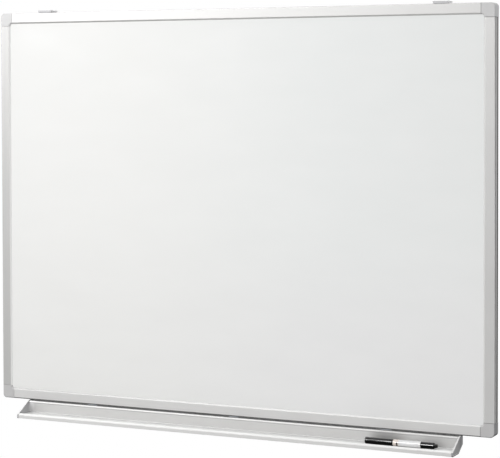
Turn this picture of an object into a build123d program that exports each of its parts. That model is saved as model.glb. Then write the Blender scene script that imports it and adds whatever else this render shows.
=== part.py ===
from build123d import *
import os

# Magnetic whiteboard: a steel-faced panel in an aluminium frame that hangs on two wall brackets,
# with a pen tray on its bottom rail and one marker in the tray.
# Millimetres. X runs to the right, Y into the wall, Z up. The origin is on the wall, midway
# between the two wall-screw holes.

os.makedirs("parts", exist_ok=True)

# Board and frame
board_width = 1000.0
board_height = 750.0
frame_depth = 22.0
face_width = 20.0

# Rail section: u runs in from the outer edge, v runs back from the front face
rail_wall = 1.4
face_wall = 1.6
edge_round = 1.0
lip_bevel = 2.5
lip_tip = 0.3
panel_recess = 2.5
channel_floor = 11.4
flange_reach = 19.0
hook_lip_reach = 16.0
side_step = 0.6
side_step_from = 12.7
side_step_slope = 0.5
slot_centre = 4.8
slot_mouth = 4.5
slot_width = 6.4
slot_floor = 5.9

# Panel
skin_thickness = 0.5
core_thickness = 9.6
back_thickness = 0.4
panel_play = 0.1
panel_edge_gap = 0.6

# Corner caps
cap_inner_radius = 4.5
cap_outer_radius = 7.0
cap_edge_bevel = 0.8
cap_wall = 1.8
seam_gap = 0.2
insert_length = 38.0
insert_clearance = 0.15
insert_root = 6.0
insert_tip_bevel = 1.5

# Corner screws
corner_screw_inset = 20.0
corner_screw_radius = 1.4
corner_screw_length = 10.0
corner_screw_head_radius = 2.7
corner_screw_head_height = 1.6
screw_clearance = 0.05
rail_hole_play = 0.3
recess_width = 0.7
recess_depth = 0.9
recess_margin = 0.8

# Wall brackets
bracket_inset = 98.7
bracket_width = 28.5
bracket_flare = 1.25
bracket_plate = 3.0
bracket_gap = 0.3
bracket_rise = 4.6
bracket_nose_depth = 10.0
bracket_slit = 7.0
bracket_bridge = 1.6
bracket_tooth_reach = 3.2
bracket_tooth_clearance = 0.4
hook_arm = 3.0
hook_clearance = 1.0
bracket_foot = 12.0
bracket_foot_radius = 6.0
bracket_crest_radius = 1.0
screw_drop = 34.0
wall_hole_radius = 2.5
wall_sink_radius = 4.8
wall_sink_angle = 90.0

# Wall bumpers
bumper_radius = 6.5
bumper_edge_bevel = 0.5
bumper_rise = 70.0

# Pen tray
tray_inset = 59.5
tray_gap = 1.8
tray_wall = 1.5
tray_proud = 5.0
tray_rim_round = 3.0
tray_rim_height = 22.2
trough_width = 37.5
trough_corner = 2.0
trough_outer_corner = 3.0
lip_rise = 3.8
lip_slope_height = 3.1
lip_slope_depth = 4.0
lip_face = 6.2
lip_round = 0.6
lip_foot = 4.5
hanger_screw_room = 0.3
hanger_leg = 11.2
hanger_return = 3.5
port_radius = 1.5
port_wall = 1.0
port_slit = 1.2
port_overlap = 0.5
rear_port_drop = 14.0
front_port_inset = 11.0

# Tray end caps
end_thickness = 3.0
end_proud = 0.4
end_top_gap = 0.8
end_lip_rise = 0.8
end_chin_depth = 8.5
end_rear_height = 15.7
end_front_bevel = 1.8
end_edge_round = 0.5
end_recess_depth = 0.8
end_recess_border = 2.4
peg_length = 14.0
peg_clearance = 0.1

# Tray nuts and screws
nut_count = 3
nut_inset = 140.5
nut_length = 20.0
nut_clearance = 0.2
nut_head = 2.8
tray_screw_radius = 1.5
tray_screw_length = 7.0
tray_screw_flats = 4.8
head_sides = 6
tray_screw_head_height = 2.2
tray_hole_play = 0.25

# Marker
marker_end_gap = 33.1
marker_from_back_wall = 16.0
marker_rest_gap = 0.3
cap_length = 52.7
cap_radius = 5.8
cap_end_bevel = 0.9
cap_skin = 1.1
cap_end_wall = 4.5
collar_length = 9.0
collar_step = 0.05
barrel_length = 42.2
barrel_step = 0.2
barrel_skin = 1.0
plug_length = 30.0
plug_end_bevel = 0.7
plug_post_length = 5.0
plug_post_step = 1.2
spigot_length = 8.0
spigot_clearance = 0.1
grip_clearance = 0.06
grip_length = 22.0
grip_shoulder = 1.5
grip_tip_radius = 3.2
nib_radius = 1.6
nib_tip_radius = 0.8
nib_reach = 6.0
nib_root = 9.0
nib_clearance = 0.1
reservoir_clearance = 0.15
reservoir_gap = 0.5

# Places that follow from the sizes
wall_gap = bracket_plate + bracket_gap
front_y = -(wall_gap + frame_depth)
top_z = screw_drop
bottom_z = top_z - board_height
mid_z = (top_z + bottom_z) / 2
left_x = -board_width / 2
right_x = board_width / 2
panel_thickness = skin_thickness + core_thickness + back_thickness
channel_back = panel_recess + panel_thickness + panel_play
slot_front = slot_centre - slot_width / 2
slot_rear = slot_centre + slot_width / 2
mouth_front = slot_centre - slot_mouth / 2
mouth_rear = slot_centre + slot_mouth / 2
chamber_outer = side_step + rail_wall
chamber_inner = channel_floor - rail_wall
chamber_front = slot_rear + rail_wall
chamber_rear = frame_depth - rail_wall
chamber_u = (chamber_outer + chamber_inner) / 2
chamber_v = (chamber_front + chamber_rear) / 2
cap_leg = face_width + cap_inner_radius
rail_hole_radius = corner_screw_radius + rail_hole_play
tray_length = board_width - 2 * tray_inset


def finish(part, name):
    """Label a finished piece and write it as its own STEP file."""
    part.label = name
    export_step(part, f"parts/{name}.step")


# The four sides of the frame: middle of the outer edge on the front face, the direction in
# towards the panel, the direction along the rail, and the side's length
sides = {
    "top": ((0, front_y, top_z), (0, 0, -1), (1, 0, 0), board_width),
    "bottom": ((0, front_y, bottom_z), (0, 0, 1), (-1, 0, 0), board_width),
    "left": ((left_x, front_y, mid_z), (1, 0, 0), (0, 0, 1), board_height),
    "right": ((right_x, front_y, mid_z), (-1, 0, 0), (0, 0, -1), board_height),
}


def section_plane(side):
    """Plane across a rail: local x is u, local y is v."""
    middle, inward, along, span = sides[side]
    return Plane(origin=middle, x_dir=inward, z_dir=along)


def rear_plane(side):
    """Plane of a side's back edges: local x runs along the rail, local y is u."""
    middle, inward, along, span = sides[side]
    return Plane(origin=middle, x_dir=along, z_dir=(0, 1, 0)).offset(frame_depth)


# Rail section: bevelled lip, panel channel, hanging lip behind it, outer T-slot and two hollows
with BuildSketch() as rail_section:
    with BuildLine():
        Polyline(
            (0, 0),
            (face_width - lip_bevel, 0),
            (face_width, panel_recess - lip_tip),
            (face_width, panel_recess),
            (channel_floor, panel_recess),
            (channel_floor, channel_back),
            (flange_reach, channel_back),
            (flange_reach, channel_back + rail_wall),
            (channel_floor, channel_back + rail_wall),
            (channel_floor, chamber_rear),
            (hook_lip_reach, chamber_rear),
            (hook_lip_reach, frame_depth),
            (side_step, frame_depth),
            (side_step, side_step_from + side_step_slope),
            (0, side_step_from),
            (0, mouth_rear),
            (rail_wall, mouth_rear),
            (rail_wall, slot_rear),
            (slot_floor, slot_rear),
            (slot_floor, slot_front),
            (rail_wall, slot_front),
            (rail_wall, mouth_front),
            (0, mouth_front),
            close=True,
        )
    make_face()
    fillet(vertices().sort_by_distance((0, 0))[0], edge_round)
    with Locations((chamber_u, chamber_v)):
        Rectangle(chamber_inner - chamber_outer, chamber_rear - chamber_front, mode=Mode.SUBTRACT)
    with Locations(((slot_floor + rail_wall + chamber_inner) / 2, (face_wall + slot_rear) / 2)):
        Rectangle(
            chamber_inner - slot_floor - rail_wall, slot_rear - face_wall, mode=Mode.SUBTRACT
        )

# Rails. The top and bottom ones have a hole near each end for the screw that holds the corner
# cap's leg, and the upright ones are captive between the caps
screwed_sides = ("top", "bottom")
for side, (middle, inward, along, span) in sides.items():
    rail_length = span - 2 * (cap_leg + seam_gap)
    with BuildPart() as rail:
        with BuildSketch(section_plane(side)):
            add(rail_section.sketch)
        extrude(amount=rail_length / 2, both=True)
        if side in screwed_sides:
            with BuildSketch(rear_plane(side)):
                for end in (-1, 1):
                    with Locations((end * (span / 2 - cap_leg - corner_screw_inset), chamber_u)):
                        Circle(rail_hole_radius)
            extrude(amount=-rail_wall, mode=Mode.SUBTRACT)
    finish(rail.part, f"frame_rail_{side}")

# Outline of a corner cap: local x runs in along the horizontal rail, local y along the upright one
with BuildSketch() as cap_outline:
    with BuildLine():
        Polyline((cap_leg, face_width), (cap_leg, 0), (0, 0), (0, cap_leg), (face_width, cap_leg))
        CenterArc((cap_leg, cap_leg), cap_inner_radius, 180, 90)
    make_face()
    fillet(vertices().sort_by_distance((0, 0))[0], cap_outer_radius)

# Corner cap: moulded shell with a panel channel, a hollow back and two legs for the rails
corner_plane = Plane(origin=(left_x, front_y, top_z), x_dir=(1, 0, 0), z_dir=(0, 1, 0))
leg_width = chamber_inner - chamber_outer - 2 * insert_clearance
leg_height = chamber_rear - chamber_front - 2 * insert_clearance
with BuildPart() as cap:
    with BuildSketch(corner_plane):
        add(cap_outline.sketch)
    extrude(amount=frame_depth)
    inner_corner = (left_x + cap_leg, front_y, top_z - cap_leg)
    face_edges = cap.edges().group_by(Axis.Y)[0].sort_by_distance(inner_corner)
    chamfer(face_edges[-3:], cap_edge_bevel)
    with Locations(corner_plane.location * Location((cap_leg, cap_leg, 0))):
        Cone(
            cap_inner_radius + lip_bevel,
            cap_inner_radius,
            panel_recess - lip_tip,
            align=(Align.CENTER, Align.CENTER, Align.MIN),
            mode=Mode.SUBTRACT,
        )
    with BuildSketch(corner_plane.offset(panel_recess)):
        with Locations((channel_floor, channel_floor)):
            Rectangle(cap_leg, cap_leg, align=(Align.MIN, Align.MIN))
    extrude(amount=channel_back - panel_recess, mode=Mode.SUBTRACT)
    with BuildSketch(corner_plane.offset(frame_depth)):
        add(cap_outline.sketch)
        offset(amount=-cap_wall, mode=Mode.REPLACE)
    extrude(amount=channel_back + cap_wall - frame_depth, mode=Mode.SUBTRACT)
    for side, sense in (("top", 1), ("left", -1)):
        leg_plane = section_plane(side)
        middle, inward, along, span = sides[side]
        leg_start = sense * (insert_root + cap_wall - span / 2)
        with BuildSketch(leg_plane.offset(leg_start)):
            with Locations((chamber_u, chamber_v)):
                Rectangle(leg_width, leg_height)
        extrude(amount=sense * (cap_leg - cap_wall - insert_root + insert_length))
        leg_faces = cap.faces().sort_by(Axis(middle, [sense * part for part in along]))
        chamfer(leg_faces[-1].edges(), insert_tip_bevel)
    with BuildSketch(rear_plane("top")):
        with Locations((left_x + cap_leg + corner_screw_inset, chamber_u)):
            Circle(corner_screw_radius + screw_clearance)
    extrude(amount=-corner_screw_length, mode=Mode.SUBTRACT)

with BuildPart() as cap_right:
    mirror(cap.part, about=Plane.YZ)
with BuildPart() as cap_low:
    mirror(cap.part, about=Plane.XY.offset(mid_z))
with BuildPart() as cap_low_right:
    mirror(cap_right.part, about=Plane.XY.offset(mid_z))
finish(cap.part, "corner_cap_top_left")
finish(cap_right.part, "corner_cap_top_right")
finish(cap_low.part, "corner_cap_bottom_left")
finish(cap_low_right.part, "corner_cap_bottom_right")

# Corner screws: one at each corner, through the rail's back wall into the leg
with BuildPart() as corner_screws:
    for side in screwed_sides:
        for end in (-1, 1):
            place = Location((end * (right_x - cap_leg - corner_screw_inset), chamber_u, 0))
            with Locations(rear_plane(side).location * place):
                Cylinder(
                    corner_screw_radius,
                    corner_screw_length - corner_screw_head_height,
                    align=(Align.CENTER, Align.CENTER, Align.MAX),
                )
                Cylinder(
                    corner_screw_head_radius,
                    corner_screw_head_height,
                    align=(Align.CENTER, Align.CENTER, Align.MIN),
                )
            head_top = Location((0, 0, corner_screw_head_height))
            slot_span = 2 * (corner_screw_head_radius - recess_margin)
            with Locations(rear_plane(side).location * place * head_top):
                for width, height in ((slot_span, recess_width), (recess_width, slot_span)):
                    Box(
                        width,
                        height,
                        recess_depth,
                        align=(Align.CENTER, Align.CENTER, Align.MAX),
                        mode=Mode.SUBTRACT,
                    )
finish(corner_screws.part, "corner_screws")

# Panel: enamelled steel skin, stiff core and galvanised back sheet
panel_inset = channel_floor + panel_edge_gap
sheet_width = board_width - 2 * panel_inset
sheet_height = board_height - 2 * panel_inset
skin_y = front_y + panel_recess
core_y = skin_y + skin_thickness
back_sheet_y = core_y + core_thickness
for name, start, thickness in (
    ("writing_surface", skin_y, skin_thickness),
    ("panel_core", core_y, core_thickness),
    ("back_sheet", back_sheet_y, back_thickness),
):
    with BuildPart() as sheet:
        with BuildSketch(Plane(origin=(0, start, mid_z), x_dir=(1, 0, 0), z_dir=(0, 1, 0))):
            Rectangle(sheet_width, sheet_height)
        extrude(amount=thickness)
    finish(sheet.part, name)

# Wall bracket profile: local x is v, local y is height above the board's top edge
plate_front = frame_depth + bracket_gap
plate_rear = frame_depth + wall_gap
crest = bracket_rise
seat = bracket_gap
tooth_front = mouth_front + bracket_tooth_clearance
tooth_rear = mouth_rear - bracket_tooth_clearance
tongue_rear = chamber_rear - hook_clearance
tongue_front = channel_back + rail_wall + hook_clearance
tongue_top = -(channel_floor + hook_clearance)
arm_top = -hook_lip_reach
arm_bottom = arm_top - hook_arm
foot = -(screw_drop + bracket_foot)
slit_rear = bracket_nose_depth + bracket_slit
bracket_neck = bracket_width - 2 * bracket_flare

for name, centre_x in (
    ("wall_bracket_left", left_x + bracket_inset),
    ("wall_bracket_right", right_x - bracket_inset),
):
    profile_plane = Plane(origin=(centre_x, front_y, top_z), x_dir=(0, 1, 0), z_dir=(1, 0, 0))
    outline_plane = Plane(origin=(centre_x, 0, top_z), x_dir=(1, 0, 0), z_dir=(0, -1, 0))
    with BuildPart() as bracket:
        with BuildSketch(profile_plane):
            with BuildLine():
                Polyline(
                    (0, crest),
                    (bracket_nose_depth, crest),
                    (bracket_nose_depth, seat + bracket_bridge),
                    (slit_rear, seat + bracket_bridge),
                    (slit_rear, crest),
                    (plate_rear, crest),
                    (plate_rear, foot),
                    (plate_front, foot),
                    (plate_front, arm_bottom),
                    (tongue_front, arm_bottom),
                    (tongue_front, tongue_top),
                    (tongue_rear, tongue_top),
                    (tongue_rear, arm_top),
                    (plate_front, arm_top),
                    (plate_front, seat),
                    (tooth_rear, seat),
                    (tooth_rear, -bracket_tooth_reach),
                    (tooth_front, -bracket_tooth_reach),
                    (tooth_front, seat),
                    (0, seat),
                    close=True,
                )
            make_face()
            fillet(vertices().sort_by_distance((0, crest))[0], bracket_crest_radius)
        extrude(amount=bracket_width / 2, both=True)
        with BuildSketch(outline_plane) as front_outline:
            with BuildLine():
                Polyline(
                    (-bracket_width / 2, crest),
                    (bracket_width / 2, crest),
                    (bracket_neck / 2, seat),
                    (bracket_neck / 2, foot),
                    (-bracket_neck / 2, foot),
                    (-bracket_neck / 2, seat),
                    close=True,
                )
            make_face()
            fillet(front_outline.vertices().group_by(Axis.Y)[0], bracket_foot_radius)
        extrude(amount=plate_rear, mode=Mode.INTERSECT)
        screw_place = Plane(
            origin=(centre_x, -bracket_plate, 0), x_dir=(1, 0, 0), z_dir=(0, -1, 0)
        )
        with Locations(screw_place.location):
            CounterSinkHole(
                wall_hole_radius,
                wall_sink_radius,
                depth=bracket_plate,
                counter_sink_angle=wall_sink_angle,
            )
    finish(bracket.part, name)

# Rubber bumpers on the upright rails, as thick as the gap to the wall
bumper_u = (side_step + hook_lip_reach) / 2
for side, sense in (("left", -1), ("right", 1)):
    with BuildPart() as bumper:
        spot = Location((sense * (board_height / 2 - bumper_rise), bumper_u, 0))
        with Locations(rear_plane(side).location * spot):
            Cylinder(bumper_radius, wall_gap, align=(Align.CENTER, Align.CENTER, Align.MIN))
        chamfer(bumper.edges().filter_by(GeomType.CIRCLE).sort_by(Axis.Y)[-1], bumper_edge_bevel)
    finish(bumper.part, f"wall_bumper_{side}")

# Tray section: local x is v, local y is height above the board's bottom edge
tray_plane = Plane(origin=(0, front_y, bottom_z), x_dir=(0, 1, 0), z_dir=(1, 0, 0))
trough_back = -tray_proud
wall_back = trough_back + tray_wall
trough_front = trough_back - trough_width
lip_front = trough_front - tray_wall
rim_top = -tray_gap
floor_top = rim_top - tray_rim_height
floor_under = floor_top - tray_wall
lip_top = floor_top + lip_rise
lip_corner = lip_top - lip_slope_height
lip_bottom = lip_corner - lip_face
lip_edge = lip_front + lip_slope_depth
lip_slope_length = (lip_slope_height**2 + lip_slope_depth**2) ** 0.5
lip_edge_back = tray_wall * lip_slope_height / lip_slope_length
lip_edge_drop = tray_wall * lip_slope_depth / lip_slope_length
hanger_rear = slot_centre + tray_screw_flats / 2 + hanger_screw_room + tray_wall
leg_bottom = rim_top - hanger_leg
port_outer = port_radius + port_wall
rear_port = (wall_back + port_outer - port_overlap, rim_top - rear_port_drop)
front_port = (trough_front + front_port_inset, floor_under - port_outer + port_overlap)
nut_pitch = (tray_length - 2 * nut_inset) / (nut_count - 1)
nut_places = [index * nut_pitch + nut_inset - tray_length / 2 for index in range(nut_count)]
tray_hole_radius = tray_screw_radius + tray_hole_play
extrusion_length = tray_length - 2 * end_thickness

with BuildPart() as tray:
    with BuildSketch(tray_plane):
        with BuildLine():
            Polyline(
                (trough_back, rim_top),
                (hanger_rear, rim_top),
                (hanger_rear, leg_bottom),
                (hanger_rear - hanger_return, leg_bottom),
                (hanger_rear - hanger_return, leg_bottom + tray_wall),
                (hanger_rear - tray_wall, leg_bottom + tray_wall),
                (hanger_rear - tray_wall, rim_top - tray_wall),
                (wall_back, rim_top - tray_wall),
                (wall_back, floor_under),
                (trough_front, floor_under),
                (trough_front, lip_bottom + tray_wall),
                (trough_front + lip_foot, lip_bottom + tray_wall),
                (trough_front + lip_foot, lip_bottom),
                (lip_front, lip_bottom),
                (lip_front, lip_corner),
                (lip_edge, lip_top),
                (lip_edge + lip_edge_back, lip_top - lip_edge_drop),
                (trough_front, floor_top),
                (trough_back, floor_top),
                close=True,
            )
        make_face()
        fillet(vertices().sort_by_distance((trough_back, rim_top))[0], tray_rim_round)
        fillet(vertices().sort_by_distance((trough_back, floor_top))[0], trough_corner)
        fillet(vertices().sort_by_distance((wall_back, floor_under))[0], trough_outer_corner)
        fillet(vertices().sort_by_distance((lip_edge, lip_top))[:2], lip_round)
        fillet(vertices().sort_by_distance((lip_front, lip_corner))[0], lip_round)
        fillet(vertices().sort_by_distance((lip_front, lip_bottom))[0], lip_round)
        with Locations(rear_port, front_port):
            Circle(port_outer)
            Circle(port_radius, mode=Mode.SUBTRACT)
        with Locations(rear_port):
            Rectangle(port_outer, port_slit, align=(Align.MIN, Align.CENTER), mode=Mode.SUBTRACT)
        with Locations(front_port):
            Rectangle(port_slit, port_outer, align=(Align.CENTER, Align.MAX), mode=Mode.SUBTRACT)
    extrude(amount=extrusion_length / 2, both=True)
    for nut_x in nut_places:
        with BuildSketch(Plane.XY.offset(bottom_z + rim_top)):
            with Locations((nut_x, front_y + slot_centre)):
                Circle(tray_hole_radius)
        extrude(amount=-tray_wall, mode=Mode.SUBTRACT)
finish(tray.part, "tray_profile")

# Tray end caps: a plate that follows the section, with two pegs for the ports
end_top = -end_top_gap
end_rear = hanger_rear + end_proud
end_front = lip_front - end_proud
end_bottom = lip_bottom - end_proud
end_chin = trough_back - end_chin_depth
with BuildSketch() as end_outline:
    with BuildLine():
        Polyline(
            (end_rear, end_top),
            (trough_back - end_proud, end_top),
            (end_front, lip_corner + end_lip_rise),
            (end_front, end_bottom + end_front_bevel),
            (end_front + end_front_bevel, end_bottom),
            (end_chin, end_bottom),
            (end_rear, end_top - end_rear_height),
            close=True,
        )
    make_face()
with BuildPart() as end_right:
    with BuildSketch(tray_plane.offset(extrusion_length / 2)):
        add(end_outline.sketch)
    extrude(amount=end_thickness)
    outer_edges = end_right.faces().sort_by(Axis.X)[-1].edges()
    fillet(outer_edges, end_edge_round)
    with BuildSketch(tray_plane.offset(tray_length / 2)):
        add(end_outline.sketch)
        offset(amount=-end_recess_border, mode=Mode.REPLACE)
        with Locations((wall_back, end_top)):
            Rectangle(
                hanger_rear - trough_back,
                end_top - end_bottom,
                align=(Align.MIN, Align.MAX),
                mode=Mode.SUBTRACT,
            )
    extrude(amount=-end_recess_depth, mode=Mode.SUBTRACT)
    with BuildSketch(tray_plane.offset(extrusion_length / 2)):
        with Locations(rear_port, front_port):
            Circle(port_radius - peg_clearance)
    extrude(amount=-peg_length)
with BuildPart() as end_left:
    mirror(end_right.part, about=Plane.YZ)
finish(end_right.part, "tray_end_cap_right")
finish(end_left.part, "tray_end_cap_left")

# T-nuts in the bottom rail's slot, standing on the tray's top flange
nut_lip_face = rail_wall + nut_clearance
with BuildPart() as tray_nuts:
    for nut_x in nut_places:
        with BuildSketch(tray_plane.offset(nut_x)):
            with Locations((slot_centre, rim_top)):
                Rectangle(
                    slot_mouth - 2 * nut_clearance,
                    nut_lip_face - rim_top,
                    align=(Align.CENTER, Align.MIN),
                )
            with Locations((slot_centre, nut_lip_face)):
                Rectangle(
                    slot_width - 2 * nut_clearance, nut_head, align=(Align.CENTER, Align.MIN)
                )
        extrude(amount=nut_length / 2, both=True)
        with BuildSketch(Plane.XY.offset(bottom_z + rim_top)):
            with Locations((nut_x, front_y + slot_centre)):
                Circle(tray_screw_radius + screw_clearance)
        extrude(amount=nut_lip_face + nut_head - rim_top, mode=Mode.SUBTRACT)
finish(tray_nuts.part, "tray_t_nuts")

# Hexagon screws from under the tray's top flange into the nuts
with BuildPart() as tray_screws:
    for nut_x in nut_places:
        with Locations((nut_x, front_y + slot_centre, bottom_z + rim_top - tray_wall)):
            Cylinder(
                tray_screw_radius,
                tray_screw_length,
                align=(Align.CENTER, Align.CENTER, Align.MIN),
            )
        with BuildSketch(Plane.XY.offset(bottom_z + rim_top - tray_wall)):
            with Locations((nut_x, front_y + slot_centre)):
                RegularPolygon(tray_screw_flats / 2, head_sides, major_radius=False)
        extrude(amount=-tray_screw_head_height)
finish(tray_screws.part, "tray_screws")

# Marker: turned profiles about its axis, which lies along X on the tray's floor
marker_y = front_y + trough_back - marker_from_back_wall
marker_z = bottom_z + floor_top + cap_radius + marker_rest_gap
marker_axis = Axis((0, marker_y, marker_z), (1, 0, 0))
marker_plane = Plane(origin=(0, marker_y, marker_z), x_dir=(1, 0, 0), z_dir=(0, -1, 0))
plug_end = extrusion_length / 2 - marker_end_gap
barrel_end = plug_end - plug_length
collar_end = barrel_end - barrel_length
cap_mouth = collar_end - collar_length
marker_start = cap_mouth - cap_length
collar_radius = cap_radius - collar_step
grip_radius = cap_radius - cap_skin - grip_clearance
barrel_radius = cap_radius - barrel_step
barrel_bore = barrel_radius - barrel_skin
plug_post_radius = barrel_radius - plug_post_step
spigot_radius = barrel_bore - spigot_clearance
grip_start = cap_mouth - grip_length
nib_start = grip_start - nib_reach

with BuildPart() as marker_cap:
    with BuildSketch(marker_plane):
        with BuildLine():
            Polyline(
                (marker_start, 0),
                (marker_start, cap_radius),
                (cap_mouth, cap_radius),
                (cap_mouth, cap_radius - cap_skin),
                (marker_start + cap_end_wall, cap_radius - cap_skin),
                (marker_start + cap_end_wall, 0),
                close=True,
            )
        make_face()
        chamfer(vertices().sort_by_distance((marker_start, cap_radius))[0], cap_end_bevel)
    revolve(axis=marker_axis)
finish(marker_cap.part, "marker_cap")

# Collar between cap and barrel, with the grip that the cap closes over
with BuildPart() as marker_collar:
    with BuildSketch(marker_plane):
        with BuildLine():
            Polyline(
                (grip_start, nib_radius + nib_clearance),
                (grip_start, grip_tip_radius),
                (grip_start + grip_shoulder, grip_radius),
                (cap_mouth, grip_radius),
                (cap_mouth, collar_radius),
                (collar_end, collar_radius),
                (collar_end, spigot_radius),
                (collar_end + spigot_length, spigot_radius),
                (collar_end + spigot_length, nib_radius + nib_clearance),
                close=True,
            )
        make_face()
    revolve(axis=marker_axis)
finish(marker_collar.part, "marker_collar")

with BuildPart() as marker_nib:
    with BuildSketch(marker_plane):
        with BuildLine():
            Polyline(
                (nib_start, 0),
                (nib_start, nib_tip_radius),
                (nib_start + nib_radius, nib_radius),
                (grip_start + nib_root, nib_radius),
                (grip_start + nib_root, 0),
                close=True,
            )
        make_face()
    revolve(axis=marker_axis)
finish(marker_nib.part, "marker_nib")

with BuildPart() as marker_barrel:
    with BuildSketch(marker_plane):
        with Locations((collar_end, barrel_bore)):
            Rectangle(barrel_length, barrel_skin, align=(Align.MIN, Align.MIN))
    revolve(axis=marker_axis)
finish(marker_barrel.part, "marker_barrel")

with BuildPart() as marker_plug:
    with BuildSketch(marker_plane):
        with BuildLine():
            Polyline(
                (barrel_end - spigot_length, 0),
                (barrel_end - spigot_length, spigot_radius),
                (barrel_end, spigot_radius),
                (barrel_end, barrel_radius),
                (plug_end - plug_post_length, barrel_radius),
                (plug_end - plug_post_length, plug_post_radius),
                (plug_end, plug_post_radius),
                (plug_end, 0),
                close=True,
            )
        make_face()
        chamfer(vertices().sort_by_distance((plug_end, plug_post_radius))[0], plug_end_bevel)
    revolve(axis=marker_axis)
finish(marker_plug.part, "marker_tail_plug")

# Felt rod that feeds the nib, between the collar's spigot and the tail plug's
with BuildPart() as marker_reservoir:
    with BuildSketch(marker_plane):
        with Locations((collar_end + spigot_length + reservoir_gap, 0)):
            Rectangle(
                barrel_length - 2 * (spigot_length + reservoir_gap),
                barrel_bore - reservoir_clearance,
                align=(Align.MIN, Align.MIN),
            )
    revolve(axis=marker_axis)
finish(marker_reservoir.part, "marker_reservoir")
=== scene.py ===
# %% [markdown]
# A magnetic whiteboard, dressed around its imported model.
# The frame of the scene is the measured model: rails, caps, brackets, tray and marker already stand
# at their real size, in metres, with the wall at y = 0 and the wall screws at z = 0. This lesson adds
# what the model can't hold: the finish of every surface, the small turned details of the marker, and
# a camera and light like a catalogue picture's.

# %% Load the model
from math import pi, radians

import bmesh
import bpy
from mathutils import Matrix, Vector


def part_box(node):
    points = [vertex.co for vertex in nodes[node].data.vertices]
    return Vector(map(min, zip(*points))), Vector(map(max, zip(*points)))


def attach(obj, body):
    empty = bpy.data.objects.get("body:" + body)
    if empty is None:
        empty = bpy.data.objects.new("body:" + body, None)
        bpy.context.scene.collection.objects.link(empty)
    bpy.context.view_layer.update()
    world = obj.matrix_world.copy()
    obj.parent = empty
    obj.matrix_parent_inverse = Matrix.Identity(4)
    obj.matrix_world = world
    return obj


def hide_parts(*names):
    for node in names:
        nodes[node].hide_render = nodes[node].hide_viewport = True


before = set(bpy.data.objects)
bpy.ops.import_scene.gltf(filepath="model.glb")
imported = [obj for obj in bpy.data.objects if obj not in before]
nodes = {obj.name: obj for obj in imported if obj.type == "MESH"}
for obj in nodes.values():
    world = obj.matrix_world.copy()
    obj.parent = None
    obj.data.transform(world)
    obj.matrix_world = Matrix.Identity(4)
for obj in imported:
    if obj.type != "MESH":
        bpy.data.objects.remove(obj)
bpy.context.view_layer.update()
MM = 0.001

# %% [markdown]
# The camera stands to the right of the board, a little above its middle, and looks left. The picture
# keeps upright lines upright, so the camera hardly tilts: the lens is shifted instead, as on a view
# camera. Pitch and roll are the small angles that are left.

# %% Camera
CAMERA_PLACE = (1.431, -2.979, -0.114)
CAMERA_YAW, CAMERA_PITCH, CAMERA_ROLL = radians(25.28), radians(-1.75), radians(-0.13)
LENS_MM = 128.95
LENS_SHIFT_UP = -0.17

camera_data = bpy.data.cameras.new("camera")
camera_data.lens = LENS_MM
camera_data.sensor_width = 36
camera_data.sensor_fit = "HORIZONTAL"
camera_data.shift_y = LENS_SHIFT_UP
camera_data.clip_end = 60
camera = bpy.data.objects.new("camera", camera_data)
camera.matrix_world = (
    Matrix.Translation(CAMERA_PLACE)
    @ Matrix.Rotation(CAMERA_YAW, 4, "Z")
    @ Matrix.Rotation(pi / 2 + CAMERA_PITCH, 4, "X")
    @ Matrix.Rotation(CAMERA_ROLL, 4, "Z")
)
scene = bpy.context.scene
scene.collection.objects.link(camera)
scene.camera = camera
scene.view_settings.view_transform = "Standard"
BOARD_MIDDLE_Z = -0.341
to_middle = Vector(CAMERA_PLACE) - Vector((0, 0, BOARD_MIDDLE_Z))
print("camera to board middle", round(to_middle.length, 2), "m")

# %% [markdown]
# Shader maths reads best as sums. Signal wraps one output socket, and its operators add Math nodes,
# so that `0.4 + 0.1 * grain` is written as it is said. Recipe holds a node tree and has one method
# that adds any other node: its settings come first, then the values or links of its sockets.

# %% Shader helpers
class Signal:
    """An output socket of a recipe's tree that takes part in sums."""

    def __init__(self, recipe, socket):
        self.recipe = recipe
        self.socket = socket

    def math(self, operation, first, second=0.0):
        """A Math node on two values."""
        return self.recipe.add("ShaderNodeMath", {"operation": operation}, {0: first, 1: second})

    def __add__(self, other):
        return self.math("ADD", self, other)

    def __radd__(self, other):
        return self.math("ADD", other, self)

    def __sub__(self, other):
        return self.math("SUBTRACT", self, other)

    def __rsub__(self, other):
        return self.math("SUBTRACT", other, self)

    def __mul__(self, other):
        return self.math("MULTIPLY", self, other)

    def __rmul__(self, other):
        return self.math("MULTIPLY", other, self)

    def above(self, low, high):
        """0 below low, 1 above high, and smooth in between."""
        settings = {"interpolation_type": "SMOOTHSTEP"}
        sockets = {"Value": self, "From Min": low, "From Max": high}
        return self.recipe.add("ShaderNodeMapRange", settings, sockets)

    def __neg__(self):
        return self.math("MULTIPLY", self, -1.0)

    def output(self, name):
        """Another output of the same node."""
        return Signal(self.recipe, self.socket.node.outputs[name])


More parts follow.
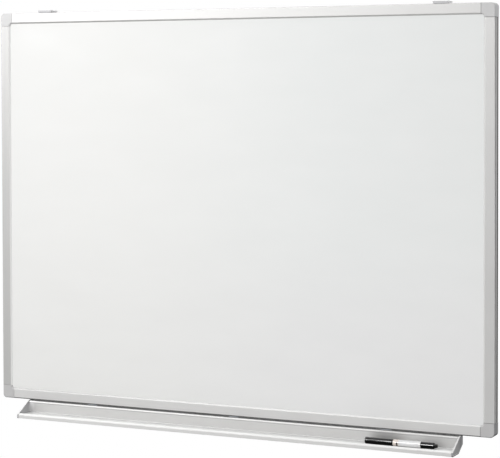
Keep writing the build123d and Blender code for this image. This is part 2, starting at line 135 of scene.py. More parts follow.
class Recipe:
    """A node tree that is filled by one method."""

    def __init__(self, tree):
        self.tree = tree
        tree.nodes.clear()

    def add(self, kind, settings=None, sockets=None, out=0):
        """Add a node with its settings, then set or link its sockets, and return its output."""
        node = self.tree.nodes.new(kind)
        for name, value in (settings or {}).items():
            setattr(node, name, value)
        for name, value in (sockets or {}).items():
            if isinstance(value, Signal):
                self.tree.links.new(value.socket, node.inputs[name])
            else:
                node.inputs[name].default_value = value
        return Signal(self, node.outputs[out]) if node.outputs else node

    def place(self, scale=(1, 1, 1), turn=(0, 0, 0)):
        """Object coordinates in metres, turned and scaled."""
        coordinates = self.add("ShaderNodeTexCoord", out="Object")
        sockets = {"Vector": coordinates, "Rotation": turn, "Scale": scale}
        return self.add("ShaderNodeMapping", {"vector_type": "POINT"}, sockets)

    def along(self, axis="X"):
        """The place along one axis. The other axes are outputs of the same node."""
        return self.add("ShaderNodeSeparateXYZ", None, {"Vector": self.place()}, out=axis)

    def noise(self, vector, scale, detail=2.0, roughness=0.5):
        """Smooth noise from 0 to 1."""
        sockets = {"Vector": vector, "Scale": scale, "Detail": detail, "Roughness": roughness}
        return self.add("ShaderNodeTexNoise", None, sockets)

    def crevice(self, reach, open_share):
        """1 deep in a gap that is narrower than reach, and 0 on open faces."""
        sockets = {"Distance": reach}
        openness = self.add("ShaderNodeAmbientOcclusion", {"samples": 6}, sockets, out="AO")
        return 1.0 - openness.above(0.0, open_share)

    def facing_up(self, edge=0.0):
        """The height of the surface's normal: 1 on a floor, 0 on a wall and -1 on an underside."""
        normal = self.add("ShaderNodeBevel", {"samples": 4}, {"Radius": edge})
        return self.add("ShaderNodeSeparateXYZ", None, {"Vector": normal}, out="Z")

    def blend(self, factor, first, second):
        """A colour between two colours."""
        sockets = {0: factor, 6: first, 7: second}
        return self.add("ShaderNodeMix", {"data_type": "RGBA"}, sockets, out=2)

    def bump(self, height, strength, distance, edge=None):
        """A normal from a height, over rounded edges where an edge radius is given."""
        sockets = {"Height": height, "Strength": strength, "Distance": distance}
        if edge:
            sockets["Normal"] = self.add("ShaderNodeBevel", {"samples": 4}, {"Radius": edge})
        return self.add("ShaderNodeBump", None, sockets)


def rgb(red, green, blue):
    """A colour written as a screen shows it, 0 to 255, for a socket that wants linear values."""
    linear = [c / 12.92 if c <= 0.04045 else ((c + 0.055) / 1.055) ** 2.4
              for c in (red / 255, green / 255, blue / 255)]
    return (*linear, 1.0)


def close_recipe(recipe, sockets):
    """End a recipe in its Principled shader and the material's output."""
    shader = recipe.add("ShaderNodeBsdfPrincipled", None, sockets)
    recipe.add("ShaderNodeOutputMaterial", None, {"Surface": shader})


def new_recipe(name):
    """A new material and the recipe of its tree."""
    material = bpy.data.materials.new(name)
    material.use_nodes = True
    return material, Recipe(material.node_tree)


# %% [markdown]
# The rails and the tray are extruded aluminium, etched and anodised. Up close they show fine lines
# along the length, drawn by the die, and a satin sheen between them. The tray's colour also holds
# painted light and shade. Pale dust hides its floor, and its upward faces are painted paler for the
# light from above; the floor is painted darker at the back, as shade. The slope of the lip has a painted
# highlight, and the wall a painted reflection of the marker where it lies. The hollow corner, the band
# under the rim and the slot above the wall get painted shade, and the top of the rim a painted
# highlight. Beside its left end the wall is painted paler, to offset the dark reflection of the grey end
# cap in the metal there. All this could be painted by hand, but plain ranges do: each pair of numbers
# says where a mark starts and where it is full, in metres in the shared frame.

# %% Dust and painted light on the tray
WALL_FRONT_Y, WALL_INSIDE_Y = (-0.0312, -0.0304), (-0.0300, -0.0294)
MARKER_REFLECTION_X, MARKER_REFLECTION_FADES_X = (0.262, 0.300), (0.30, 0.36)
TRAY_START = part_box("tray_profile")[0][0]
END_MIRROR_X = (TRAY_START + 2.0 * MM, TRAY_START + 15.0 * MM)
FLOOR_REAR_SHADE_Y = (-0.050, -0.036)
HOLLOW_Y, HOLLOW_TOP_Z = (-0.0350, -0.0330), (-0.7385, -0.7375)
LIP_REAR_Y, LIP_SLOPE_Z = (-0.066, -0.062), (-0.739, -0.7382)
UNDER_RIM_Z, RIM_Z, RIM_TOP_Z = (-0.7226, -0.7220), (-0.7199, -0.7194), (-0.7181, -0.7179)
SLOT_Y, SLOT_Z = (-0.0287, -0.0283), (-0.7188, -0.7183)


def tray_dust_and_light(recipe, grain, dust_and_light):
    """Colours of the tray: pale dust, and painted light, shade, highlights and a painted reflection."""
    x = recipe.along()
    y, z = x.output("Y"), x.output("Z")
    wall = y.above(*WALL_FRONT_Y) * (1.0 - y.above(*WALL_INSIDE_Y))
    # Painted reflection of the marker on the wall, fading towards the right.
    marker_reflection = x.above(*MARKER_REFLECTION_X) * (0.38 - 0.34 * x.above(*MARKER_REFLECTION_FADES_X))
    grain = recipe.blend(marker_reflection * wall, grain, rgb(120, 118, 118))
    # Painted light: the wall is paler beside the left end, to offset the end cap's dark reflection.
    grain = recipe.blend(0.9 * (1.0 - x.above(*END_MIRROR_X)) * wall, grain, rgb(250, 250, 250))
    # Pale dust with painted light from above on upward faces; the floor is painted darker at the back,
    # as shade.
    dust_and_light_colour = recipe.blend(y.above(*FLOOR_REAR_SHADE_Y), rgb(233, 233, 232), rgb(221, 221, 220))
    grain = recipe.blend(dust_and_light, grain, dust_and_light_colour)
    # Painted shade in the hollow corner between the wall and the floor.
    hollow_shade = y.above(*HOLLOW_Y) * (1.0 - z.above(*HOLLOW_TOP_Z))
    grain = recipe.blend(0.35 * hollow_shade, grain, rgb(140, 140, 140))
    # Painted highlight on the slope of the lip.
    painted_highlight = dust_and_light * (1.0 - y.above(*LIP_REAR_Y)) * z.above(*LIP_SLOPE_Z)
    grain = recipe.blend(painted_highlight, grain, rgb(246, 246, 245))
    # Painted shade on the band under the rim.
    under_rim_shade = z.above(*UNDER_RIM_Z) * (1.0 - z.above(*RIM_Z))
    grain = recipe.blend(0.35 * under_rim_shade, grain, rgb(146, 146, 146))
    # Painted highlight on the top of the rim.
    grain = recipe.blend(z.above(*RIM_TOP_Z), grain, rgb(252, 252, 251))
    # Painted shade in the slot above the wall.
    return recipe.blend(0.6 * y.above(*SLOT_Y) * z.above(*SLOT_Z), grain, rgb(22, 22, 22))


# %% [markdown]
# The right side of the frame is seen almost edge on. The slot in it is painted pale, as light, more so
# higher up, and the strip behind the slot is painted dark, as shade, a little less so higher up. These
# ranges are depths behind the frame's front face, places along X and heights.

# %% Painted light and shade on the frame's right side
FRONT_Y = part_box("frame_rail_top")[0][1]
SIDE_SLOT_DEPTH, SIDE_SLOT_REAR = (2.3 * MM, 2.5 * MM), (7.2 * MM, 7.4 * MM)
SIDE_SLOT_X, SIDE_FACE_X = (0.485, 0.486), (0.4988, 0.4992)
REAR_DEPTH, REAR_X = (12.6 * MM, 13.6 * MM), (0.4986, 0.4990)
SLOT_LIGHT_Z, REAR_LIGHTER_Z = (-0.62, -0.25), (-0.65, 0.1)


def side_light_and_shade(recipe, grain):
    """The right rail's side: painted light in the slot, and painted shade on the rear strip."""
    x = recipe.along()
    depth, z = x.output("Y") - FRONT_Y, x.output("Z")
    slot = depth.above(*SIDE_SLOT_DEPTH) * (1.0 - depth.above(*SIDE_SLOT_REAR))
    slot = slot * x.above(*SIDE_SLOT_X) * (1.0 - x.above(*SIDE_FACE_X))
    # Painted light in the slot, more so higher up.
    grain = recipe.blend(slot * z.above(*SLOT_LIGHT_Z), grain, rgb(250, 250, 249))
    # Painted shade on the rear strip, a little less higher up.
    rear_shade = depth.above(*REAR_DEPTH) * x.above(*REAR_X)
    return recipe.blend(rear_shade * (1.0 - 0.4 * z.above(*REAR_LIGHTER_Z)), grain, rgb(30, 30, 31))


print("frame's front face at", round(FRONT_Y, 4))

# %% [markdown]
# A rail meets a corner cap at each end, and dirt draws a thin dark line in that joint, fainter on the
# left. The bevelled lip round the panel faces another part of the room than the rail does, so its
# tones, left and right, are a painted reflection of that part. The bottom rail's underside and lower
# edge are painted dark, as shade, and its left end is painted a little darker. One function draws each
# of these, and a rail takes the ones that it needs.

# %% Seams, lips and lower edges
SEAM_DARK = 1.1 * MM
SEAM_DIRT_X = (-0.4, 0.3)
LIP_INSET, LIP_BLUR = 17.5 * MM, 0.3 * MM
LIP_TONES_X = (-0.5, 0.4)
DARKER_END_X = (-0.36, -0.2)
LOWER_EDGE = (1.3 * MM, 2.1 * MM)
UNDER_EDGE = 1.6 * MM
FACES_BELOW = (0.05, 0.4)
NEARLY_BLACK = rgb(20, 20, 20)


def seam_dirt(recipe, grain, here, middle, half_length):
    """A dark line where a rail of this half length ends."""
    from_middle = here.math("ABSOLUTE", here - middle)
    seam = from_middle.above(half_length - SEAM_DARK, half_length - 0.3 * SEAM_DARK)
    dirt = 0.25 + 0.45 * here.output("X").above(*SEAM_DIRT_X)
    return recipe.blend(dirt * seam, grain, rgb(96, 95, 95))


def painted_lip_reflection(recipe, grain, here, lip):
    """The bevel's painted reflection: the axis that it faces along, where it starts, and its tones left
    and right.
    """
    axis, start, *tones = lip
    left, right = [rgb(tone, tone, tone - 1) for tone in tones]
    # Painted reflection: the bevel gets tones of its own, left and right.
    bevel = here.output(axis).above(start - LIP_BLUR, start + LIP_BLUR)
    return recipe.blend(bevel, grain, recipe.blend(here.output("X").above(*LIP_TONES_X), left, right))


def lower_edge_shade(recipe, grain, here, foot):
    """The bottom rail's left end painted a little darker, and painted shade on its underside and lower
    edge.
    """
    # Painted a little darker towards the left end.
    darker_left = 1.0 - here.output("X").above(*DARKER_END_X)
    grain = recipe.blend(0.045 * darker_left, grain, NEARLY_BLACK)
    # Painted shade on the underside and the lower edge.
    below = (-recipe.facing_up(UNDER_EDGE)).above(*FACES_BELOW)
    low = 1.0 - here.output("Z").above(foot + LOWER_EDGE[0], foot + LOWER_EDGE[1])
    return recipe.blend(0.88 * below.math("MAXIMUM", below, low), grain, NEARLY_BLACK)


# %% [markdown]
# The metal itself is one recipe. A noise that is stretched along the rail gives the lines of the die.
# It feeds the roughness and a very small bump. Rails that run across and rails that stand up have a
# material each, because the lines follow the piece and catch the lamp differently. Two slower noises
# cloud the tone, and the ambient occlusion node finds the narrow gaps between the pieces and darkens
# them with painted shade.

# %% Anodised aluminium
LINES_PER_METRE = 5200.0
LINE_WAVES_ALONG = 9.0
STREAKS_PER_METRE = 400.0
STREAK_WAVES_ALONG = 3.0
EDGE_SOFT = 0.5 * MM
GAP_REACH = 9.0 * MM
GAP_OPEN = 0.5
DUST_AND_LIGHT_SLOPE = (0.5, 0.85)


def anodised(name, along, half_length, tone, roughness=0.36, lip=None, side=False, gaps=0.0, foot=0.0):
    """Satin aluminium with lines along one axis: 0 is X and 2 is Z. The tray has no half length."""
    material, recipe = new_recipe(name)
    line_scale, streak_scale = [LINES_PER_METRE] * 3, [STREAKS_PER_METRE] * 3
    line_scale[along], streak_scale[along] = LINE_WAVES_ALONG, STREAK_WAVES_ALONG
    lines = recipe.noise(recipe.place(scale=line_scale), 1.0, detail=3.0, roughness=0.6)
    clouds = recipe.noise(recipe.place(), 14.0, detail=3.0)
    streaks = recipe.noise(recipe.place(scale=streak_scale), 1.0)
    light = rgb(tone + 6, tone + 6, tone + 5)
    dark = rgb(tone - 5, tone - 6, tone - 7)
    grain = recipe.blend(0.45 * lines + 0.3 * clouds + 0.25 * streaks, dark, light)
    here = recipe.along("XYZ"[along])
    metallic = 1.0
    if half_length:
        grain = seam_dirt(recipe, grain, here, BOARD_MIDDLE_Z if along == 2 else 0.0, half_length)
    else:
        # Upward faces: pale dust, and painted light from above; they are also less metallic.
        dust_and_light = recipe.facing_up().above(*DUST_AND_LIGHT_SLOPE)
        metallic = 1.0 - 0.85 * dust_and_light
        grain = tray_dust_and_light(recipe, grain, dust_and_light)
    if side:
        grain = side_light_and_shade(recipe, grain)
    if lip:
        grain = painted_lip_reflection(recipe, grain, here, lip)
    if foot:
        grain = lower_edge_shade(recipe, grain, here, foot)
    # Painted shade in the narrow gaps between pieces, found by ambient occlusion.
    if gaps:
        grain = recipe.blend(gaps * recipe.crevice(GAP_REACH, GAP_OPEN), grain, rgb(8, 8, 8))
    close_recipe(recipe, {
        "Base Color": grain,
        "Metallic": metallic,
        "Roughness": roughness + 0.12 * lines + 0.06 * clouds,
        "Normal": recipe.bump(lines, 0.12, 0.04 * MM, edge=EDGE_SOFT),
    })
    return material


def dress(material, *names):
    """Give model pieces one material."""
    for name in names:
        nodes[name].data.materials.clear()
        nodes[name].data.materials.append(material)


def half_span(node, axis):
    """Half the length of a piece along one axis."""
    low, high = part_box(node)
    return (high[axis] - low[axis]) / 2


# %% [markdown]
# Each rail gets a tone of its own, a painted reflection of the part of the room that it faces. The
# tones are levels from 0 to 255, as a screen shows them.

# %% Dress the rails and the tray
across = half_span("frame_rail_top", 0)
upright = half_span("frame_rail_left", 2)
foot_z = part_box("frame_rail_bottom")[0][2]
lip_low = ("Z", foot_z + LIP_INSET, 186, 218)
lip_left = ("X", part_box("frame_rail_left")[0][0] + LIP_INSET, 224, 224)
dress(anodised("anodised_top", 0, across, 197, roughness=0.42, gaps=1.0), "frame_rail_top")
dress(anodised("anodised_bottom", 0, across, 214, lip=lip_low, gaps=0.4, foot=foot_z),
      "frame_rail_bottom")
dress(anodised("anodised_left", 2, upright, 182, roughness=0.4, lip=lip_left), "frame_rail_left")
dress(anodised("anodised_right", 2, upright, 200, side=True), "frame_rail_right")
dress(anodised("anodised_tray", 0, 0.0, 208, roughness=0.5), "tray_profile")
print("top rail", round(2 * across, 4), "m, side rail", round(2 * upright, 4), "m")

# %% [markdown]
# The writing surface is enamelled steel: a glassy white coat with a very slight orange peel. It is
# almost a mirror for bright things, so most of its look is the even reflection of a pale room. Wiping
# leaves faint slanted bands that are a little duller than the rest. The room's light is a little warmer
# on the left than at the upper right, and the white is painted with the same tint.

# %% Enamel
UPPER_HALF_Z, RIGHT_HALF_X = (-0.62, -0.32), (-0.30, 0.25)
WIPED_DULL = (0.45, 0.7)


def enamel():
    """Glossy white, painted in four slightly different whites, one for each corner, for the room's
    light.
    """
    material, recipe = new_recipe("white_enamel")
    peel = recipe.noise(recipe.place(), 260.0, detail=1.0)
    wiped = recipe.noise(recipe.place(scale=(3.0, 1.0, 9.0), turn=(0, 0.35, 0)), 2.2, detail=4.0)
    x = recipe.along()
    upper, right = x.output("Z").above(*UPPER_HALF_Z), x.above(*RIGHT_HALF_X)
    left_white = recipe.blend(upper, rgb(235, 235, 233), rgb(238, 238, 236))
    right_white = recipe.blend(upper, rgb(234, 234, 234), rgb(235, 237, 236))
    white = recipe.blend(right, left_white, right_white)
    close_recipe(recipe, {
        "Base Color": recipe.blend(0.4 * wiped, white, rgb(247, 247, 246)),
        "Roughness": 0.10 + 0.10 * wiped.above(*WIPED_DULL),
        "Coat Weight": 0.6,
        "Coat Roughness": 0.04,
        "Normal": recipe.bump(peel, 0.05, 0.02 * MM),
    })
    return material


dress(enamel(), "writing_surface")
print("white panel", [round(2 * half_span("writing_surface", axis), 4) for axis in (0, 2)], "m")

# %% [markdown]
# Corner caps, tray ends and brackets are moulded in light grey plastic. A mould is spark-eroded, which
# leaves a fine even grain on the moulding. Two noises of different size make the grain, and a little
# metal powder in the plastic gives the corner caps the silvery look of the rails beside them. The
# caps' edges are rounder than the rails', so their shading is softened over a wider radius. The upper
# edges of the tray's ends get a painted highlight, undersides painted shade, and faces that look to
# the right a painted tone of their own, for the light from that side. The lower corner caps and the
# tray's right end are darker copies of the grey, as painted shade, and the tray's left end a lighter
# one.

# %% Grey plastic
LOOKS_UP, LOOKS_RIGHT, LOOKS_DOWN = (0.3, 0.7), (0.7, 0.93), (0.0, 0.45)


def moulded(name, light, dark, grain_scale, roughness, metallic, side, edge=EDGE_SOFT, painted_highlight=None,
            under=0.0):
    """Grey plastic. A side that looks to the right has a painted tone of its own, for the light there.
    """
    material, recipe = new_recipe(name)
    place = recipe.place()
    grain = recipe.noise(place, grain_scale, detail=2.0)
    clouds = recipe.noise(place, 60.0, detail=2.0)
    colour = recipe.blend(0.5 * grain + 0.5 * clouds, rgb(*dark), rgb(*light))
    facing = recipe.facing_up(edge)
    # Painted highlight on upper edges.
    if painted_highlight:
        colour = recipe.blend(facing.above(*LOOKS_UP), colour, rgb(painted_highlight, painted_highlight, painted_highlight - 1))
    # Painted tone for the light on faces that look to the right.
    colour = recipe.blend(facing.output("X").above(*LOOKS_RIGHT), colour, rgb(side, side, side + 1))
    # Painted shade on undersides.
    colour = recipe.blend(under * (-facing).above(*LOOKS_DOWN), colour, rgb(30, 30, 31))
    close_recipe(recipe, {
        "Base Color": colour,
        "Metallic": metallic,
        "Roughness": roughness + 0.12 * grain,
        "Normal": recipe.bump(grain, 0.25, 0.05 * MM, edge=edge),
    })
    return material


CAP_EDGE = 1.4 * MM
cap_look = {"grain_scale": 2600.0, "roughness": 0.42, "metallic": 0.15, "edge": CAP_EDGE}
bracket_look = {"grain_scale": 2000.0, "roughness": 0.5, "metallic": 0.0}
end_look = {"grain_scale": 1300.0, "roughness": 0.52, "metallic": 0.0, "under": 0.75}
upper_grey = moulded("grey_plastic", (205, 205, 205), (196, 195, 195), side=184, **cap_look)
# The lower corner caps are a darker copy of the grey, as painted shade.
lower_grey = moulded("grey_plastic_lower", (196, 195, 195), (187, 186, 186), side=134, under=1.0,
                     **cap_look)
bracket_grey = moulded("grey_plastic_bracket", (204, 204, 206), (196, 196, 199), side=238,
                       **bracket_look)
# The tray's left end is a lighter and its right end a darker copy of the grey, as painted light and
# shade.
left_end = moulded("grey_plastic_left_end", (196, 196, 198), (180, 180, 183), side=188, painted_highlight=250,
                   **end_look)
right_end = moulded("grey_plastic_right_end", (162, 162, 164), (146, 146, 149), side=152, painted_highlight=228,
                    **end_look)
dress(upper_grey, "corner_cap_top_left", "corner_cap_top_right")
dress(lower_grey, "corner_cap_bottom_left", "corner_cap_bottom_right")
dress(bracket_grey, "wall_bracket_left", "wall_bracket_right")
dress(left_end, "tray_end_cap_left")
dress(right_end, "tray_end_cap_right")
print("corner cap", round(2 * half_span("corner_cap_top_left", 0), 4), "m wide with its legs")

# %% [markdown]
# The back of the board is a thin galvanised sheet. Zinc freezes on steel in flat crystals, each with
# its own slight tilt and shade. A Voronoi pattern gives each crystal one random value.

# %% Galvanised sheet
CRYSTALS_PER_METRE = 70.0


def galvanised():
    """Zinc crystals on steel."""
    material, recipe = new_recipe("galvanised_sheet")
    warp = recipe.noise(recipe.place(), 30.0, detail=2.0)
    sockets = {"Vector": recipe.place(), "Scale": CRYSTALS_PER_METRE}
    cells = recipe.add("ShaderNodeTexVoronoi", {"feature": "F1"}, sockets, out="Color")
    shade = recipe.add("ShaderNodeSeparateColor", None, {"Color": cells})
    close_recipe(recipe, {
        "Base Color": recipe.blend(shade, rgb(196, 199, 202), rgb(218, 221, 223)),
        "Metallic": 0.6,
        "Roughness": 0.38 + 0.12 * shade.output("Green") + 0.08 * warp,
        "Normal": recipe.bump(shade.output("Blue"), 0.10, 0.05 * MM),
    })
    return material


dress(galvanised(), "back_sheet")
print("zinc crystals about", round(1 / (CRYSTALS_PER_METRE * MM), 1), "mm wide")

# %% [markdown]
# The small parts share one plain recipe with a colour, a grain and a roughness. Zinc plate, rubber,
# gloss plastic, felt and board differ in these few values.

# %% Core, zinc, rubber and the marker's plastics
def plain(name, light, dark, scale, roughness, metallic=0.0, bump=0.15, coat=0.0):
    """One colour with a grain in it."""
    material, recipe = new_recipe(name)
    grain = recipe.noise(recipe.place(), scale, detail=3.0)
    close_recipe(recipe, {
        "Base Color": recipe.blend(grain, rgb(*dark), rgb(*light)),
        "Metallic": metallic,
        "Roughness": roughness + 0.15 * grain,
        "Coat Weight": coat,
        "Coat Roughness": 0.03,
        "Normal": recipe.bump(grain, bump, 0.04 * MM, edge=0.2 * MM),
    })
    return material


zinc = plain("zinc_plated", (212, 214, 218), (176, 180, 188), 900.0, 0.28, metallic=1.0)
rubber = plain("bumper_rubber", (52, 52, 54), (34, 34, 35), 700.0, 0.7)
white = plain("white_plastic", (243, 243, 243), (233, 233, 234), 420.0, 0.16, coat=0.4)
felt = plain("nib_felt", (40, 38, 42), (16, 16, 18), 2500.0, 0.85, bump=0.8)
dress(plain("core_board", (196, 178, 146), (168, 148, 116), 400.0, 0.8), "panel_core")
dress(zinc, "corner_screws", "tray_screws", "tray_t_nuts")
dress(rubber, "wall_bumper_left", "wall_bumper_right")
dress(felt, "marker_reservoir")
print("materials so far", len([m for m in bpy.data.materials if m.use_nodes]))

# %% [markdown]
# The marker lies in the tray, so its place comes from the model's cap. Its black plastic gathers dust
# and fingerprints below, where nobody wipes it, so only its upper half is still polished: the weight
# of the clear coat rises with the height. The collar is ivory plastic with a small vent slot, a deep
# and narrow opening that is a dark patch from any distance, so a range of places in the colour is
# enough for it.

# %% Plastics of the marker
cap_low, cap_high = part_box("marker_cap")
MARKER_START = cap_low[0]
AXIS_Y = (cap_low[1] + cap_high[1]) / 2
AXIS_Z = (cap_low[2] + cap_high[2]) / 2
VENT_START, VENT_END, VENT_BLUR = 58.9 * MM, 61.7 * MM, 0.2 * MM
VENT_TOP, VENT_TOP_BLUR = 1.8 * MM, 0.4 * MM


def black_plastic():
    """Black plastic that is dull below its axis and polished above."""
    material, recipe = new_recipe("black_plastic")
    grain = recipe.noise(recipe.place(), 300.0, detail=3.0)
    polish = recipe.along("Z").above(AXIS_Z - 1.0 * MM, AXIS_Z + 2.0 * MM)
    close_recipe(recipe, {
        "Base Color": recipe.blend(grain, rgb(3, 3, 3), rgb(6, 5, 6)),
        "Specular IOR Level": 0.07,
        "Roughness": 0.2 + 0.08 * grain,
        "Coat Weight": 0.9 * polish,
        "Coat Roughness": 0.05,
        "Normal": recipe.bump(grain, 0.05, 0.04 * MM),
    })
    return material


def collar_plastic():
    """Ivory plastic with a dark vent slot on its lower side."""
    material, recipe = new_recipe("collar_plastic")
    grain = recipe.noise(recipe.place(), 300.0, detail=3.0)
    along = recipe.along() - MARKER_START
    height = recipe.along("Z") - AXIS_Z
    slot = along.above(VENT_START, VENT_START + VENT_BLUR)
    slot = slot * (1.0 - along.above(VENT_END, VENT_END + VENT_BLUR))
    slot = slot * (1.0 - height.above(VENT_TOP, VENT_TOP + VENT_TOP_BLUR))
    ivory = recipe.blend(grain, rgb(230, 219, 209), rgb(242, 232, 225))
    close_recipe(recipe, {
        "Base Color": recipe.blend(slot, ivory, rgb(20, 18, 18)),
        "Roughness": 0.2 + 0.15 * grain,
        "Coat Weight": 0.3,
        "Coat Roughness": 0.03,
        "Normal": recipe.bump(grain, 0.15, 0.04 * MM, edge=0.2 * MM),
    })
    return material


print("marker axis at", round(AXIS_Y, 4), round(AXIS_Z, 4), "from", round(MARKER_START, 4))

# %% [markdown]
# The marker is a stack of turned pieces. Each could be built from cylinders and cones, but one section
# holds every step and bore at once: it is drawn as half the piece, in millimetres from the cap's
# closed end and from the axis, and spun once round. Corners get a small curve, which is what makes
# moulded plastic shine along its edges, and a point near each end of a long straight part keeps the
# smooth shading of the curve from running along it.

# %% Turning
SPIN_STEPS = 64
CURVE_STEPS = 6
SHARP_ANGLE = radians(32)
LONG_PART, NEAR_CORNER = 2.5, 0.15
marker_pieces = bpy.data.collections.new("marker_pieces")
scene.collection.children.link(marker_pieces)


def softened(section):
    """Give the corners of a section small curves. A point is (along, radius), and a curve may follow."""
    points = []
    count = len(section)
    for i, point in enumerate(section):
        corner = Vector(point[:2])
        if len(point) == 2:
            points.append(corner)
            continue
        before = (Vector(section[i - 1][:2]) - corner).normalized() * point[2]
        after = (Vector(section[(i + 1) % count][:2]) - corner).normalized() * point[2]
        for step in range(CURVE_STEPS + 1):
            t = step / CURVE_STEPS
            points.append(corner + before * (1 - t) ** 2 + after * t ** 2)
    return points


def supported(points):
    """Add a point near both ends of each long part, so that the shading of a corner stays there."""
    result = []
    for first, second in zip(points, points[1:] + points[:1]):
        result.append(first)
        if (second - first).length > LONG_PART:
            near = (second - first).normalized() * NEAR_CORNER
            result += [first + near, second - near]
    return result


def turned(name, section, material, node, body, closed=True):
    """Spin a section about the marker's axis and let it stand for its node."""
    mesh = bpy.data.meshes.new(name)
    shape = bmesh.new()
    verts = [shape.verts.new((MARKER_START + p.x * MM, AXIS_Y, AXIS_Z + p.y * MM))
             for p in supported(softened(section))]
    pairs = list(zip(verts, verts[1:] + verts[:1] if closed else verts[1:]))
    edges = [shape.edges.new(pair) for pair in pairs]
    bmesh.ops.spin(shape, geom=verts + edges, cent=(0, AXIS_Y, AXIS_Z), axis=(1, 0, 0),
                   dvec=(0, 0, 0), angle=2 * pi, steps=SPIN_STEPS, use_merge=True,
                   use_normal_flip=False, use_duplicate=False)
    bmesh.ops.remove_doubles(shape, verts=shape.verts, dist=0.001 * MM)
    bmesh.ops.recalc_face_normals(shape, faces=shape.faces)
    shape.to_mesh(mesh)
    shape.free()
    mesh.shade_smooth()
    mesh.set_sharp_from_angle(angle=SHARP_ANGLE)
    mesh.materials.append(material)
    piece = bpy.data.objects.new(name, mesh)
    marker_pieces.objects.link(piece)
    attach(piece, body)
    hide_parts(node)
    print(name, len(mesh.polygons), "faces")
    return piece


# %% [markdown]
# The cap is a thin tube, closed at one end, with a low bead at its mouth. Its bore is in the section,
# so that it is still right when it is pulled off. The section starts and ends on the axis, where the
# spun shape closes by itself.

# %% Cap
black = black_plastic()
cap_section = [
    (0.0, 0.0), (0.0, 5.8, 1.0), (8.5, 5.72), (51.2, 5.74), (51.5, 5.8, 0.1), (52.7, 5.8, 0.4),
    (52.7, 4.7, 0.15), (4.5, 4.7, 1.2), (4.5, 0.0),
]
turned("cap", cap_section, black, "marker_cap", "marker_cap", closed=False)

# %% [markdown]
# Under the cap the collar is the grip, with rings that fingers hold, and a groove near its visible end.
# It is a tube round the nib, so its section is a closed loop that doesn't touch the axis. The rings
# repeat, so a loop draws them.

# %% Collar
COLLAR_END = 63.2
GRIP_RINGS = [(34.5 + 2.4 * i, 4.62, 0.2) for i in range(7)]
collar_section = [(30.7, 1.7), (30.7, 3.2, 0.5), (32.2, 4.6, 0.6)]
for along, radius, curve in GRIP_RINGS:
    collar_section += [(along, radius, curve), (along + 0.5, radius - 0.45, curve),
                       (along + 1.2, radius - 0.45, curve), (along + 1.7, radius, curve)]
collar_section += [
    (52.7, 4.62), (52.7, 5.72, 0.3), (57.0, 5.75), (57.3, 5.45, 0.15), (57.8, 5.45, 0.15),
    (58.1, 5.75), (COLLAR_END, 5.72, 0.25), (COLLAR_END, 4.3), (66.0, 4.3), (66.0, 1.7),
]
turned("collar", collar_section, collar_plastic(), "marker_collar", "marker")

# %% [markdown]
# The barrel is a plain white tube between the collar and the black plug that closes its tail. The plug
# sits in the barrel's bore with a thinner part, tapers slightly, and ends in a short post.

# %% Barrel and tail plug
barrel_section = [(COLLAR_END, 4.6), (COLLAR_END, 5.6, 0.25), (103.9, 5.6, 0.25), (103.9, 4.6)]
turned("barrel", barrel_section, white, "marker_barrel", "marker")

plug_section = [
    (99.0, 0.0), (99.0, 4.4), (103.9, 4.4), (103.9, 5.6, 0.5), (104.9, 5.5), (127.4, 5.3),
    (128.2, 5.0, 0.6), (128.2, 3.6, 0.3), (133.9, 3.2, 1.2), (133.9, 0.0),
]
turned("tail_plug", plug_section, black, "marker_tail_plug", "marker", closed=False)

# %% [markdown]
# The nib is a bullet of pressed felt. It only shows when the cap is off.

# %% Nib
nib_section = [
    (24.7, 0.0), (24.75, 0.5), (25.1, 1.05), (25.8, 1.45), (26.8, 1.6), (39.7, 1.6), (39.7, 0.0),
]
turned("nib", nib_section, felt, "marker_nib", "marker", closed=False)

# %% [markdown]
# The light is a white studio. The world lights the object softly, and metal and gloss see a bright
# room with two dull parts: the floor below, and a dark screen behind the board on its right, which
# draws the sides of the rails grey. White walls at both ends light the bevels round the panel. An
# image of a room could do this, but a few sums on the direction are enough for so plain a place. The
# camera sees plain white.

# %% World
FILL, FILL_X, FILL_Z = 0.70, -0.25, 0.18
ROOM, ROOM_X, ROOM_Z = 0.82, -0.05, 0.02
ROOM_BELOW, ROOM_SCREEN, ROOM_SIDES = 0.66, 0.27, 0.7
SCREEN_EDGE, SIDE_WALLS = (0.5, 0.98), (0.6, 0.92)


def studio():
    """The world: a fill for dull surfaces, a room for gloss and metal, and white for the camera."""
    world = bpy.data.worlds.new("studio")
    world.use_nodes = True
    scene.world = world
    recipe = Recipe(world.node_tree)
    direction = recipe.add("ShaderNodeTexCoord", out="Generated")
    x = recipe.add("ShaderNodeSeparateXYZ", None, {"Vector": direction})
    z = x.output("Z")
    screen = (0.43 * x + 0.9 * x.output("Y")).above(*SCREEN_EDGE)
    below = z.math("MINIMUM", z, 0.0)
    sides = x.math("ABSOLUTE", x).above(*SIDE_WALLS)
    room = ROOM + ROOM_X * x + ROOM_Z * z + ROOM_BELOW * below - ROOM_SCREEN * screen
    room = room + ROOM_SIDES * sides
    fill = FILL + FILL_X * x + FILL_Z * z
    rays = recipe.add("ShaderNodeLightPath", out="Is Camera Ray")
    shows = rays.math("MAXIMUM", rays, rays.output("Is Transmission Ray"))
    light = fill + rays.output("Is Glossy Ray") * (room - fill)
    colour = light + shows * (1.0 - light)
    background = recipe.add("ShaderNodeBackground", None, {"Color": colour, "Strength": 1.0})
    recipe.add("ShaderNodeOutputWorld", None, {"Surface": background})


studio()

# %% [markdown]
# A lamp hangs near the board's upper left corner, so the board fades gently towards its lower right
# corner, and a weak one beside the board lights the sides of the frame. Metal and gloss don't see
# these two: they see a larger lamp at the upper left instead, which draws the sheen on the rails. A
# small oval lamp that lights only the marker draws a bright line along it.

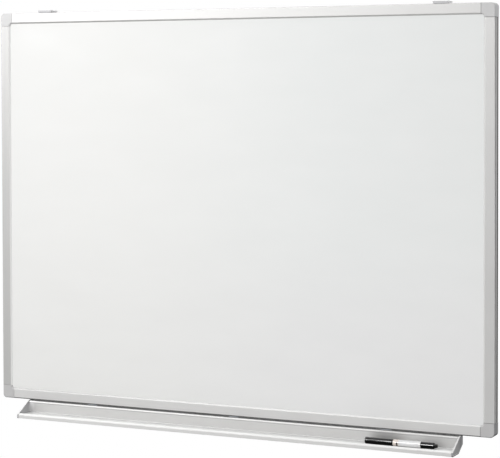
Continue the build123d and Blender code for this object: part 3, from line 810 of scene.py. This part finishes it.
# %% Lamps
def lamp(name, place, target, size, power, diffuse=True, glossy=True, only=None, stretch=1.0):
    """A round or oval lamp that the camera can't see; it can be limited to one collection."""
    data = bpy.data.lights.new(name, "AREA")
    data.shape = "ELLIPSE"
    data.size = size * stretch
    data.size_y = size
    data.energy = power
    light = bpy.data.objects.new(name, data)
    light.location = place
    light.rotation_euler = (Vector(target) - Vector(place)).to_track_quat("-Z", "Y").to_euler()
    light.visible_camera = False
    light.visible_diffuse = diffuse
    light.visible_glossy = glossy
    light.light_linking.receiver_collection = only
    scene.collection.objects.link(light)
    print(name, "lamp", power, "W")
    return light


lamp("key", (-0.60, -1.25, 0.46), (-0.1, 0, -0.3), 0.6, 7.6, glossy=False)
lamp("side", (1.35, 0.2, 0.55), (0.5, 0, 0), 0.3, 3.6, glossy=False)
lamp("sheen", (-1.8, -2.2, 1.2), (-0.1, 0, -0.3), 2.1, 60, diffuse=False)
lamp("glint", (-0.10, -1.34, -0.16), (0.35, -0.05, -0.73), 0.16, 9.1, diffuse=False,
     only=marker_pieces, stretch=1.75)

# %% [markdown]
# The board hangs on a wall that the picture doesn't show, so the floor is far below it. It is a round
# plain disk that is white to the camera and dull to all else.

# %% Floor
FLOOR_DROP = 1.8
FLOOR_SIZE = 3.0


def pale_floor():
    """A round floor, white to the camera apart from the object's shadow."""
    mesh = bpy.data.meshes.new("floor")
    shape = bmesh.new()
    bmesh.ops.create_circle(shape, cap_ends=True, segments=96, radius=FLOOR_SIZE)
    bmesh.ops.translate(shape, verts=shape.verts, vec=(0, 0, -FLOOR_DROP))
    shape.to_mesh(mesh)
    shape.free()
    floor = bpy.data.objects.new("floor", mesh)
    scene.collection.objects.link(floor)
    material, recipe = new_recipe("pale_floor")
    specks = recipe.noise(recipe.place(), 40.0, detail=2.0)
    seen = recipe.add("ShaderNodeLightPath", out="Is Camera Ray")
    close_recipe(recipe, {
        "Base Color": recipe.blend(specks, rgb(233, 233, 233), rgb(238, 238, 238)),
        "Roughness": 0.9,
        "Emission Color": recipe.blend(seen, rgb(0, 0, 0), rgb(149, 149, 149)),
        "Emission Strength": 1.0,
    })
    mesh.materials.append(material)


pale_floor()
print("floor", FLOOR_DROP, "m below the wall screws")
